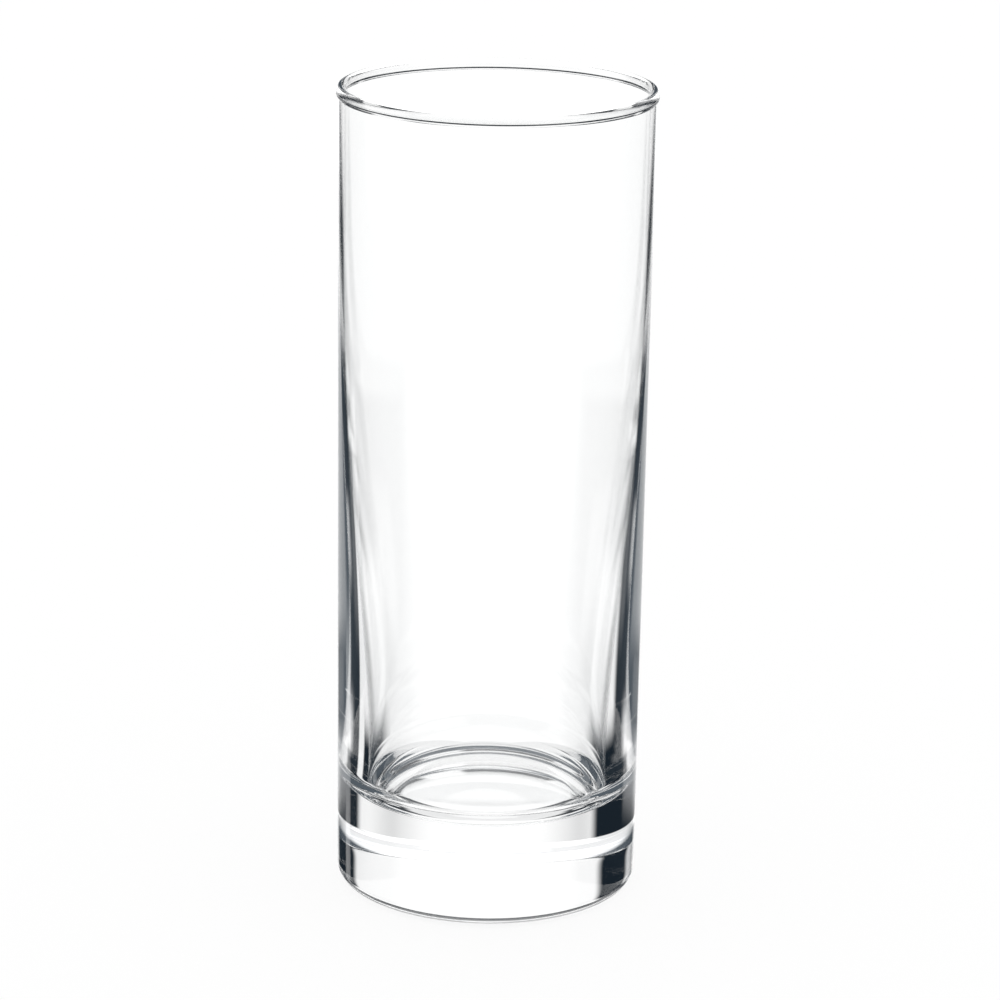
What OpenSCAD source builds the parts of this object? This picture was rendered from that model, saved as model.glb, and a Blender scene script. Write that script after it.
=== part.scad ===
// Highball glass: one piece of clear glass, a tall and almost straight tumbler.
// A fire-polished bead closes the rim, the wall thickens on its way down, and the
// solid base has a dished floor inside, a rounded heel outside and a shallow, almost flat
// hollow underneath, so that the glass stands on a narrow flat ring.
// Millimetres, Z up, with the origin at the middle of the standing ring.

/* [Overall] */
// Height from the table to the top of the rim
height = 155.7; // [120:0.1:190]
// Outer diameter of the wall just under the rim
top_d = 59; // [52:0.1:80]
// Outer diameter of the wall just above the heel
base_d = 58; // [48:0.1:76]

/* [Rim] */
// Height of the bead
bead_h = 2.4; // [1.5:0.1:4]
// Thickness of the bead, across the wall
bead_t = 1.8; // [1.6:0.1:3]
// How far the bead stands out past the wall
bead_out = 0.5; // [0.1:0.1:0.7]

/* [Wall] */
// Thickness of the wall under the bead
wall_t = 1; // [0.8:0.1:1.2]
// Thickness of the wall at its root, above the corner of the floor
root_t = 5.6; // [2:0.1:12]
// Height over which the wall thickens, up from its root
swell_h = 110; // [40:1:125]

/* [Base] */
// Thickness of the glass at the middle of the base
base_t = 17.2; // [6:0.1:35]
// Height of the rounded corner between the floor and the wall
corner_h = 6; // [3:0.1:14]
// Width of that corner
corner_w = 8; // [3:0.1:16]
// Slope of the dished floor where it meets the corner, in degrees
dish_angle = 2.5; // [1:0.5:25]
// Radius of the rounded heel
heel_r = 2.5; // [1:0.1:8]
// Width of the flat ring that the glass stands on
foot_w = 1.5; // [1:0.1:10]
// Depth of the hollow under the base
push_up_h = 0.4; // [0.2:0.1:3]

/* [Hidden] */

// How long the wall stays thick above its root: 1 is a straight taper from the root
swell_rise = 1.6;
// How early the wall is thin again on its way up: 1 is late
swell_power = 3.5;
// How flat the hollow under the base is: 2 is a dome, more is a flat recess with a round edge
hollow_power = 12;
// How the steps along the wall close up towards its root: 1 is even steps
step_power = 1.5;
// How the steps along the hollow close up towards its edge: 1 is even steps
edge_power = 2;

// Straight facets along each round stretch of the section
hollow_steps = 12;
bead_steps = 24;
wall_steps = 28;
corner_steps = 16;
dish_steps = 8;
heel_steps = 10;

// The round outline of the glass, seen from above
round_fn = 180;

// Outside: heel, straight wall, bead
foot_r = base_d / 2 - heel_r;
hollow_r = foot_r - foot_w;
bead_z = height - bead_h / 2;
bead_r = top_d / 2 + bead_out - bead_t / 2;

// Angles on the bead where the wall runs into it, outside and inside
bead_start = -acos((top_d / 2 - bead_r) / (bead_t / 2));
bead_end = 180 + acos((bead_r - top_d / 2 + wall_t) / (bead_t / 2));
neck_z = bead_z + bead_h / 2 * sin(bead_start);
inner_neck_z = bead_z + bead_h / 2 * sin(bead_end);

// Inside: the corner is part of an ellipse, up to the slope of the dish
corner_turn = atan(corner_h / (corner_w * tan(dish_angle)));
root_r = base_d / 2 - root_t;
dish_r = root_r - corner_w * (1 - cos(corner_turn));
dish_h = dish_r * tan(dish_angle) / 2;
root_z = base_t + dish_h + corner_h * sin(corner_turn);

// Outer radius of the wall at a height
function wall_r(z) = base_d / 2 + (top_d - base_d) / 2 * (z - heel_r) / (neck_z - heel_r);

// Share of the swelling that is left at a height: 1 at the root, 0 above the swell
function swell_share(z) =
    let (up = min(1, max(0, (z - root_z) / swell_h)))
    pow(1 - pow(up, swell_rise), swell_power);

// Inner radius of the wall at a height
function bowl_r(z) = wall_r(z) - wall_t
    - (wall_r(root_z) - wall_t - root_r) * swell_share(z);

// Hollow under the base, from the axis out to the standing ring
hollow_points = [for (i = [0 : hollow_steps - 1])
    let (share = 1 - pow(1 - i / hollow_steps, edge_power))
    [hollow_r * share, push_up_h * (1 - pow(share, hollow_power))]];

// Standing ring and heel
heel_points = [for (i = [0 : heel_steps])
    let (turn = -90 + 90 * i / heel_steps)
    [foot_r + heel_r * cos(turn), heel_r + heel_r * sin(turn)]];

// Bead, from the neck outside over the top to the neck inside
bead_points = [for (i = [0 : bead_steps])
    let (turn = bead_start + (bead_end - bead_start) * i / bead_steps)
    [bead_r + bead_t / 2 * cos(turn), bead_z + bead_h / 2 * sin(turn)]];

// Inside of the wall, from below the bead down to the root, with closer steps lower down
wall_points = [for (i = [1 : wall_steps - 1])
    let (share = 1 - pow(1 - i / wall_steps, step_power))
    let (z = inner_neck_z + (root_z - inner_neck_z) * share)
    [bowl_r(z), z]];

// Rounded corner, from the root of the wall to the edge of the dish
corner_points = [for (i = [0 : corner_steps])
    let (turn = corner_turn * i / corner_steps)
    [root_r - corner_w * (1 - cos(turn)), root_z - corner_h * sin(turn)]];

// Dished floor, from its edge to the axis
dish_points = [for (i = [1 : dish_steps])
    let (share = 1 - i / dish_steps)
    [dish_r * share, base_t + dish_h * share * share]];

// Half of the section through the glass
section = concat(hollow_points, [[hollow_r, 0]], heel_points, bead_points, wall_points,
    corner_points, dish_points);

// The whole glass, turned about its axis
module tumbler() {
    color("lightcyan", 0.35)
        rotate_extrude($fn = round_fn)
            polygon(section);
}

tumbler();
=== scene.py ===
# %% [markdown]
# A highball glass is one piece of clear glass: a beaded rim, a tall wall that thickens on
# its way down, and a heavy base. It has no paint and no joints, so its whole look comes
# from three things: an exact section, a clean refracting material, and what stands
# around it. A glass shows its surroundings bent, so the studio is built as carefully as
# the glass itself.

# %% Frame
import math

import bpy
from mathutils import Matrix, Vector


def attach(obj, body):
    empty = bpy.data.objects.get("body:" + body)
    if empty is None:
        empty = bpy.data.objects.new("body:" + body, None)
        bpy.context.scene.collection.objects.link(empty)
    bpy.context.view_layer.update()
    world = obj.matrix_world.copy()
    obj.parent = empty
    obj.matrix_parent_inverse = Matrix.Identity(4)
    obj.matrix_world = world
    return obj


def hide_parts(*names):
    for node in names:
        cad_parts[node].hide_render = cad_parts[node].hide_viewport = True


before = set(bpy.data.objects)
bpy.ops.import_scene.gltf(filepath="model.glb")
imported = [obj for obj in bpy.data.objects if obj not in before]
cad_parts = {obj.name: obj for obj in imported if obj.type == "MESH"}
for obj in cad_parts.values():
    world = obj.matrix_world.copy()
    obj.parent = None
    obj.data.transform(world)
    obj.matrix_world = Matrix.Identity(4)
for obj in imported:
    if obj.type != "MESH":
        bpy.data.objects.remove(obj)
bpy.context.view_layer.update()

MM = 0.001
scene = bpy.context.scene

# %% [markdown]
# The camera comes first, because everything after it is judged through it. It stands
# well away with a long lens, as for a catalogue picture, and looks down a little, so
# that the rim and the floor of the glass both open into ellipses. Camera placing can be
# done by eye, but a glass is round, so its outline gives the camera almost exactly: the
# two ellipses give the height of the view, and the narrowing from rim to foot gives the
# distance.

# %% Camera
CAMERA_ELEVATION = math.radians(16.6)
CAMERA_DISTANCE = 722.75 * MM
CAMERA_TARGET = Vector((1.65, 0, 75.85)) * MM
CAMERA_ROLL = math.radians(0.974)
SENSOR_WIDTH = 36
LENS = 136.5

camera_data = bpy.data.cameras.new("camera")
camera_data.sensor_width = SENSOR_WIDTH
camera_data.lens = LENS
camera_data.clip_start = 10 * MM
camera = bpy.data.objects.new("camera", camera_data)
scene.collection.objects.link(camera)
scene.camera = camera

towards_camera = Vector((0, -math.cos(CAMERA_ELEVATION), math.sin(CAMERA_ELEVATION)))
upright = (-towards_camera).to_track_quat("-Z", "Y").to_matrix().to_4x4()
place = Matrix.Translation(CAMERA_TARGET + towards_camera * CAMERA_DISTANCE)
camera.matrix_world = place @ upright @ Matrix.Rotation(CAMERA_ROLL, 4, "Z")
print("camera stands at", [round(x, 3) for x in camera.matrix_world.translation])

# %% [markdown]
# The glass is a body of revolution, so half of its section says everything about it. The
# sizes here are those of the solid part, in millimetres. The section is followed as a
# pencil would follow it: from the middle of the underside out to the standing ring, round
# the heel, up the outer wall, over the bead of the rim, and down inside to the floor.

# %% Sizes of the glass
HEIGHT = 155.7
TOP_D = 59
BASE_D = 58

BEAD_H = 2.4
BEAD_T = 1.8
BEAD_OUT = 0.5

WALL_T = 1
ROOT_T = 5.6
SWELL_H = 110
SWELL_RISE = 1.6
SWELL_POWER = 3.5

BASE_T = 17.2
CORNER_H = 6
CORNER_W = 8
DISH_ANGLE = math.radians(2.5)
HEEL_R = 2.5
FOOT_W = 1.5
PUSH_UP_H = 0.4
HOLLOW_POWER = 12

foot_r = BASE_D / 2 - HEEL_R
hollow_r = foot_r - FOOT_W
bead_z = HEIGHT - BEAD_H / 2
bead_r = TOP_D / 2 + BEAD_OUT - BEAD_T / 2
bead_start = -math.acos((TOP_D / 2 - bead_r) / (BEAD_T / 2))
bead_end = math.pi + math.acos((bead_r - TOP_D / 2 + WALL_T) / (BEAD_T / 2))
neck_z = bead_z + BEAD_H / 2 * math.sin(bead_start)
inner_neck_z = bead_z + BEAD_H / 2 * math.sin(bead_end)
corner_turn = math.atan(CORNER_H / (CORNER_W * math.tan(DISH_ANGLE)))
root_r = BASE_D / 2 - ROOT_T
dish_r = root_r - CORNER_W * (1 - math.cos(corner_turn))
dish_h = dish_r * math.tan(DISH_ANGLE) / 2
root_z = BASE_T + dish_h + CORNER_H * math.sin(corner_turn)
print("floor edge at", round(dish_r, 2), "mm, wall root at", round(root_z, 2), "mm up")

# %% [markdown]
# Each stretch of the section is a formula, and a list of shares from 0 to 1 walks along
# it. Light bends at every facet, so the steps are much finer than an opaque cup would
# need, above all on the small round stretches.

# %% Half of the section
HOLLOW_STEPS = 40
RING_STEPS = 4
HEEL_STEPS = 20
OUTSIDE_STEPS = 16
BEAD_STEPS = 36
WALL_STEPS = 200
CORNER_STEPS = 48
DISH_STEPS = 16
WALL_STEP_POWER = 1.2


def shares(steps):
    """Even shares of a stretch, without its start and with its end."""
    return [i / steps for i in range(1, steps + 1)]


def wall_r(z):
    """Outer radius of the wall at a height."""
    return BASE_D / 2 + (TOP_D - BASE_D) / 2 * (z - HEEL_R) / (neck_z - HEEL_R)


def bowl_r(z):
    """Inner radius of the wall at a height: the wall swells towards its root."""
    share = min(1, max(0, (z - root_z) / SWELL_H))
    swell = (1 - share ** SWELL_RISE) ** SWELL_POWER
    return wall_r(z) - WALL_T - (wall_r(root_z) - WALL_T - root_r) * swell


def hollow(t):
    return hollow_r * t, PUSH_UP_H * (1 - t ** HOLLOW_POWER)


def ring(t):
    return hollow_r + FOOT_W * t, 0


def heel(t):
    turn = (t - 1) * math.pi / 2
    return foot_r + HEEL_R * math.cos(turn), HEEL_R * (1 + math.sin(turn))


def outside(t):
    z = HEEL_R + (neck_z - HEEL_R) * t
    return wall_r(z), z


def bead(t):
    turn = bead_start + (bead_end - bead_start) * t
    return bead_r + BEAD_T / 2 * math.cos(turn), bead_z + BEAD_H / 2 * math.sin(turn)


def inside(t):
    z = root_z + (inner_neck_z - root_z) * (1 - t) ** WALL_STEP_POWER
    return bowl_r(z), z


def corner(t):
    turn = corner_turn * t
    return root_r - CORNER_W * (1 - math.cos(turn)), root_z - CORNER_H * math.sin(turn)


def dish(t):
    return dish_r * (1 - t), BASE_T + dish_h * (1 - t) ** 2


stretches = (
    (hollow, HOLLOW_STEPS),
    (ring, RING_STEPS),
    (heel, HEEL_STEPS),
    (outside, OUTSIDE_STEPS),
    (bead, BEAD_STEPS),
    (inside, WALL_STEPS),
    (corner, CORNER_STEPS),
    (dish, DISH_STEPS),
)
section = [hollow(0)] + [stretch(t) for stretch, steps in stretches for t in shares(steps)]
print("the section has", len(section), "points")

# %% [markdown]
# A glass could be shaped from a cylinder with inset, extrude and bevel, but its wall
# changes thickness all the way down, which is easier to draw once and turn. So a plane is
# merged into one vertex, the vertex is extruded along the section, and Spin turns the
# line about the axis, which is what a lathe or a glass press does. Spin leaves a seam and
# one pole above and below the base, so doubles are merged, and then the normals are
# recalculated to point out of the glass: a refracting shader needs to know its inside.

# %% Turn the section into the glass
SPIN_STEPS = 256
MERGE_DISTANCE = 0.0005 * MM
CREASE = math.radians(25)

bpy.ops.object.select_all(action="DESELECT")
bpy.ops.mesh.primitive_plane_add(size=MM, location=(0, 0, 0))
glass = bpy.context.object
glass.name = "highball_glass"
glass.data.name = "highball_glass"

points = [Vector((r, 0, z)) * MM for r, z in section]
bpy.ops.object.mode_set(mode="EDIT")
bpy.ops.mesh.select_all(action="SELECT")
bpy.ops.mesh.merge(type="CENTER")
bpy.ops.transform.translate(value=points[0])
for start, end in zip(points, points[1:]):
    bpy.ops.mesh.extrude_region_move(TRANSFORM_OT_translate={"value": end - start})

bpy.ops.mesh.select_all(action="SELECT")
bpy.ops.mesh.spin(steps=SPIN_STEPS, angle=2 * math.pi, center=(0, 0, 0), axis=(0, 0, 1))
bpy.ops.mesh.select_all(action="SELECT")
bpy.ops.mesh.remove_doubles(threshold=MERGE_DISTANCE)
bpy.ops.mesh.normals_make_consistent(inside=False)
bpy.ops.object.mode_set(mode="OBJECT")
bpy.ops.object.shade_smooth_by_angle(angle=CREASE)
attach(glass, "root")
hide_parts("tumbler")
print("glass:", len(glass.data.vertices), "vertices,", len(glass.data.polygons), "faces")

# %% [markdown]
# Shader sums read best as sums. This small class wraps an output socket, and arithmetic
# on it adds Math nodes, so 1 - mask means what it says. Every other node comes from its
# one method, node. Masks are cut with step and band, which are soft, and light is counted
# with reaches, because Light Path gives whole numbers.


# %% Shader sums
class Wire:
    """One output of a shader node. Arithmetic on wires adds Math nodes."""

    def __init__(self, tree, socket):
        self.tree = tree
        self.socket = socket

    @classmethod
    def node(cls, tree, kind, settings=None, sockets=None, output=0):
        """Adds a node with its settings, then its sockets, and gives one of its outputs."""
        made = tree.nodes.new("ShaderNode" + kind)
        for name, value in (settings or {}).items():
            setattr(made, name, value)
        for name, value in (sockets or {}).items():
            if isinstance(value, Wire):
                tree.links.new(value.socket, made.inputs[name])
            else:
                made.inputs[name].default_value = value
        return cls(tree, made.outputs[output]) if len(made.outputs) else made

    def maths(self, operation, first, second):
        return Wire.node(self.tree, "Math", {"operation": operation}, {0: first, 1: second})

    def __add__(self, other):
        return self.maths("ADD", self, other)

    def __sub__(self, other):
        return self.maths("SUBTRACT", self, other)

    def __rsub__(self, other):
        return self.maths("SUBTRACT", other, self)

    def __mul__(self, other):
        return self.maths("MULTIPLY", self, other)

    def __or__(self, other):
        return self.maths("MAXIMUM", self, other)

    __radd__ = __add__
    __rmul__ = __mul__
    __ror__ = __or__

    def __abs__(self):
        return self.maths("ABSOLUTE", self, 0)

    def root(self):
        return self.maths("SQRT", self, 0)

    @classmethod
    def mix(cls, tree, factor, first, second):
        """A colour between two others, through the colour form of the Mix node."""
        return cls.node(tree, "Mix", {"data_type": "RGBA"}, {0: factor, 6: first, 7: second}, 2)

    def step(self, low, high):
        """0 below low, 1 above high, and a soft rise between them."""
        settings = {"interpolation_type": "SMOOTHSTEP"}
        sockets = {"Value": self, "From Min": low, "From Max": high}
        return Wire.node(self.tree, "MapRange", settings, sockets)

    def band(self, rise, fall):
        """0, then 1 after a soft rise, then 0 again after a soft fall."""
        return self.step(*rise) * (1 - self.step(*fall))

    def reaches(self, count):
        """For a wire that counts: 1 from this whole number on, 0 before it."""
        return self.step(count - 0.6, count - 0.4)

    def equals(self, count):
        """For a wire that counts: 1 at this whole number alone."""
        return self.reaches(count) - self.reaches(count + 1)


print("shader sums are ready")

# %% [markdown]
# Clear soda-lime glass bends light by 1.52 and has almost no colour. What makes it look
# real are its small faults. Pressed and blown glass is never quite even, so a broad and
# very faint waviness bends the reflections a little. The heel and the standing ring slide
# over tables and shelves, so they are worn to a satin haze, which shows from outside.
#
# Two things are painted into the material as emission, because the light behind them
# takes too long to follow. Light that has turned many times inside the glass gives only
# glitter, so after a few turns the glass glows with a painted average of the light it
# would find there: slate in the wall, pale in the rim. And the far side of the heel, seen
# across the solid base, would gather the light of the whole table, so a painted glow is
# put there and nowhere else.

# %% Glass
GLASS_IOR = 1.52
GLASS_COLOUR = (0.995, 0.998, 0.998, 1)
WAVE_SIZE = 24 * MM
WAVE_DEPTH = 0.01 * MM

WORN_FROM = 0.5
WORN_ROUGHNESS = 0.15
WORN_COLOUR = (0.95, 0.95, 0.95, 1)
HAZE = 0.55

TURNS = 8
NO_GLOW = (0, 0, 0, 1)
PAINTED_LIGHT_IN_WALL = (0.05, 0.06, 0.07, 1)
PAINTED_LIGHT_IN_RIM = (0.8, 0.8, 0.8, 1)
RIM_FROM, RIM_FULL = 130, 145

PAINTED_HEEL_GLOW = (0.9, 0.9, 0.9, 1)
HEEL_EDGE = 0.1
GLOW_FROM, GLOW_FULL = hollow_r - 3, hollow_r - 2
ACROSS_FROM, ACROSS_FULL = 44.5, 48

glass_finish = bpy.data.materials.new("polished_glass")
glass_finish.use_nodes = True
glass_finish.cycles.emission_sampling = "NONE"
tree = glass_finish.node_tree
tree.nodes.clear()
position = Wire.node(tree, "TexCoord", output="Object")
across, along, up = (
    Wire.node(tree, "SeparateXYZ", {}, {"Vector": position}, axis) * (1 / MM) for axis in "XYZ"
)
radius = (across * across + along * along).root()

worn = (1 - up.step(WORN_FROM, HEEL_R)) * radius.step(hollow_r, hollow_r + FOOT_W)
wave_sockets = {"Vector": position, "Scale": 1 / WAVE_SIZE, "Detail": 1}
waves = Wire.node(tree, "TexNoise", {}, wave_sockets)
bump = Wire.node(tree, "Bump", {}, {"Height": waves, "Strength": 1, "Distance": WAVE_DEPTH})

depth = Wire.node(tree, "LightPath", output="Ray Depth")
# Painted light: after TURNS turns the glass glows with a set colour, slate in the wall and pale
# in the rim, in place of the light it would find there.
painted_average_light = Wire.mix(tree, up.step(RIM_FROM, RIM_FULL), PAINTED_LIGHT_IN_WALL, PAINTED_LIGHT_IN_RIM)
painted_light_after_turns = Wire.mix(tree, depth.reaches(TURNS), NO_GLOW, painted_average_light)

# Painted light: the far side of the heel, seen across the solid base, glows near white in place
# of the table light it would gather.
reach = Wire.node(tree, "LightPath", output="Ray Length") * (1 / MM)
below_heel = 1 - up.step(HEEL_R - HEEL_EDGE, HEEL_R + HEEL_EDGE)
far_heel = below_heel * radius.step(GLOW_FROM, GLOW_FULL)
across_base = depth.equals(1) * reach.step(ACROSS_FROM, ACROSS_FULL)
painted_glow = Wire.mix(tree, far_heel * across_base, painted_light_after_turns, PAINTED_HEEL_GLOW)

polished = Wire.node(tree, "BsdfPrincipled", {}, {
    "Base Color": GLASS_COLOUR,
    "Transmission Weight": 1,
    "IOR": GLASS_IOR,
    "Roughness": worn * WORN_ROUGHNESS,
    "Normal": bump,
    "Emission Color": painted_glow,
    "Emission Strength": 1,
})
scratched = Wire.node(tree, "BsdfDiffuse", {}, {"Color": WORN_COLOUR})
haze = worn * (1 - depth.reaches(1)) * HAZE
surface = Wire.node(tree, "MixShader", {}, {0: haze, 1: polished, 2: scratched})
Wire.node(tree, "OutputMaterial", {}, {"Surface": surface})
glass.data.materials.clear()
glass.data.materials.append(glass_finish)
print("glass finish:", len(tree.nodes), "nodes")

# %% [markdown]
# The table is a plain white sweep. It takes the soft shadow of the glass, but rays that
# have gone through the glass pass it by and see the studio instead, because a real table
# of this size would fill the base of the glass with flat white and hide its shape.

# %% Floor
FLOOR_SIZE = 6
FLOOR_GAP = 0.1 * MM
FLOOR_COLOUR = (0.98, 0.98, 0.98, 1)
WHITE = (1, 1, 1, 1)
FLOOR_GLOW = 0.9

bpy.ops.object.select_all(action="DESELECT")
bpy.ops.mesh.primitive_plane_add(size=FLOOR_SIZE, location=(0, 0, -FLOOR_GAP))
floor = bpy.context.object
floor.name = "floor"
floor.visible_transmission = False
floor.visible_glossy = False

floor_finish = bpy.data.materials.new("white_sweep")
floor_finish.use_nodes = True
tree = floor_finish.node_tree
tree.nodes.clear()
paper = Wire.node(tree, "BsdfDiffuse", {}, {"Color": FLOOR_COLOUR})
glow = Wire.node(tree, "Emission", {}, {"Color": WHITE, "Strength": 1})
blend = Wire.node(tree, "MixShader", {}, {0: FLOOR_GLOW, 1: paper, 2: glow})
Wire.node(tree, "OutputMaterial", {}, {"Surface": blend})
floor.data.materials.append(floor_finish)
print("floor:", FLOOR_SIZE, "m across")

# %% [markdown]
# Clear glass is photographed in bright field: a white screen stands behind it, and the
# rest of the room is kept dark. The middle of the glass then shows the screen, and its
# edges, where light turns furthest, show the dark gaps beside it as the lines that draw
# the shape. So the gaps matter as much as the cards: the one between the screen and the
# upper wall, for instance, draws the two lines of the rim. The studio is painted on the
# world by direction, in degrees: azimuth from the middle of the screen, positive to the
# right and 180 at the camera, and elevation from the horizon. Each card is given by its
# sides, its heights and the softness of both edges.

# %% Studio
ROOM = (0.010, 0.016, 0.023, 1)
CARD = (1.06, 1.06, 1.06, 1)

world = bpy.data.worlds.new("studio")
world.use_nodes = True
scene.world = world
tree = world.node_tree
tree.nodes.clear()
direction = Wire.node(tree, "TexCoord", output="Generated")
east, north, high = (
    Wire.node(tree, "SeparateXYZ", {}, {"Vector": direction}, axis) for axis in "XYZ"
)
turned = Wire.node(tree, "Math", {"operation": "ARCTAN2"}, {0: east, 1: north})
raised = Wire.node(tree, "Math", {"operation": "ARCSINE"}, {0: high})
azimuth = turned * math.degrees(1)
elevation = raised * math.degrees(1)
aside = abs(azimuth)


def card_at(sides, heights, softness):
    """A soft-edged card: its sides in azimuth, its heights in elevation."""
    side_soft, height_soft = softness
    width = azimuth.band(*((edge - side_soft, edge + side_soft) for edge in sides))
    return width * elevation.band(*((edge - height_soft, edge + height_soft) for edge in heights))


screen = card_at((-15, 15), (-70, 2), (3, 1.5))
screen_top = card_at((-5, 5), (-4, 5.5), (1.5, 1.5))
screen_hem = card_at((-19, 19), (-31, -21), (4, 1.5))
screen_foot = card_at((-27, 27), (-28, -24.6), (6, 1))
upper_wall = card_at((-41, 54), (18.8, 95), (3, 0.9))
left_sheet = card_at((-80, -46), (-42, -28), (4, 1.5))
right_sheet = card_at((44, 80), (-42, -28), (4, 1.5))
behind = screen | screen_top | screen_hem | screen_foot | upper_wall | left_sheet | right_sheet
print("cards behind the glass: 7")

# %% [markdown]
# Three strips run around the glass. The base is solid and shows a wide, low slice of the
# room, so a thin strip at that height, the horizon, fills it with light. The ledge and
# the belt above it light the thin wall, and a slanted gap in the belt draws the line
# along its upper edge. Lower down that line is light that turns back once inside the
# wall. The strips would break it there, so light with that many turns doesn't see them,
# as if a photographer had put up a black flag. Ray Depth counts the turns, and out in the
# world it is one more than the number of turns made.

# %% Strips of light
HORIZON_DIP = 0.25
LEDGE_LIGHT = 0.3
BELT_LIGHT = 0.8
GAP_SLANT = 0.214
BASE_DEPTH = 3
WALL_LINE_DEPTH = 4

dip = aside.band((14, 30), (28, 44)) * HORIZON_DIP
horizon = card_at((-44, 50), (-21.3, -20.1), (3, 0.4)) * (1 - dip)
ledge = card_at((-36, 36), (-20.1, -18.7), (4, 0.5)) * LEDGE_LIGHT
belt = card_at((-125, 125), (-18.8, -9), (4, 0.6)) * BELT_LIGHT

slant = elevation + aside * GAP_SLANT
gap = slant.band((-9.8, -8.6), (-6.8, -5.6))
gap = gap * (1 - elevation.step(-11, -7)) * aside.step(10, 16)

turns = Wire.node(tree, "LightPath", output="Ray Depth")
along_wall = turns.equals(WALL_LINE_DEPTH) * aside.band((10, 14), (31, 38))
low_flag = along_wall * (1 - elevation.step(-18, -14))
round_about = (horizon | ledge) * (1 - along_wall) | belt * (1 - gap) * (1 - low_flag)
print("strips around the glass: 3")

# %% [markdown]
# The glass is also seen from other sides, and from each of them it needs a light card to
# look into, with dark beside it. These cards stand where the first camera hardly sees
# them: a narrow one to the left, a tall one at the far left, a window behind the camera,
# the front of the table, the ceiling, and the table right under the glass. Two flags then
# keep the low cards out of the solid base at its outer edges, where they would hide the
# dark zones that make it look heavy.

# %% Studio from the other sides
FRONT_LIGHT = 0.95
CEILING_LIGHT = 0.95
UNDER_LIGHT = 0.8

left_card = card_at((-50, -41), (-36, -18.5), (1.5, 0.8))
far_left_card = card_at((-112, -68), (-14, 40), (4, 3))
window = card_at((112, 156), (10, 45), (5, 4))
front = aside.step(100, 115) * (1 - elevation.step(-10, -4)) * FRONT_LIGHT
ceiling = elevation.step(40, 55) * CEILING_LIGHT
under = (1 - elevation.step(-52, -44)) * UNDER_LIGHT
elsewhere = left_card | far_left_card | window | front | ceiling | under

left_flag = azimuth.band((-75, -65), (-39, -34))
right_flag = azimuth.band((50, 54), (65, 75))
through_base = turns.equals(BASE_DEPTH) * elevation.band((-23.5, -22.5), (-10, -9))
light = (behind | round_about | elsewhere) * (1 - through_base * (left_flag | right_flag))
print("cards on the other sides: 6, flags beside the base: 2")

# %% [markdown]
# The camera and the floor see the world as plain white, so the picture has a white
# background and the floor an even light. Only rays that come from the glass see the
# cards. A card is just above white, because glass gives back a little less light than it
# gets.

# %% World
seen = Wire.node(tree, "LightPath", output="Is Camera Ray")
scattered = Wire.node(tree, "LightPath", output="Is Diffuse Ray")
colour = Wire.mix(tree, light | seen | scattered, ROOM, CARD)
background = Wire.node(tree, "Background", {}, {"Color": colour, "Strength": 1})
Wire.node(tree, "OutputWorld", {}, {"Surface": background})
print("studio:", len(tree.nodes), "nodes")

# %% [markdown]
# A path is followed for the same number of turns at which the glass answers by itself.
# The Standard view keeps white as white.

# %% Light paths
scene.cycles.max_bounces = TURNS
scene.cycles.transmission_bounces = TURNS
scene.cycles.glossy_bounces = TURNS
scene.view_settings.view_transform = "Standard"
print("turns of light:", TURNS)
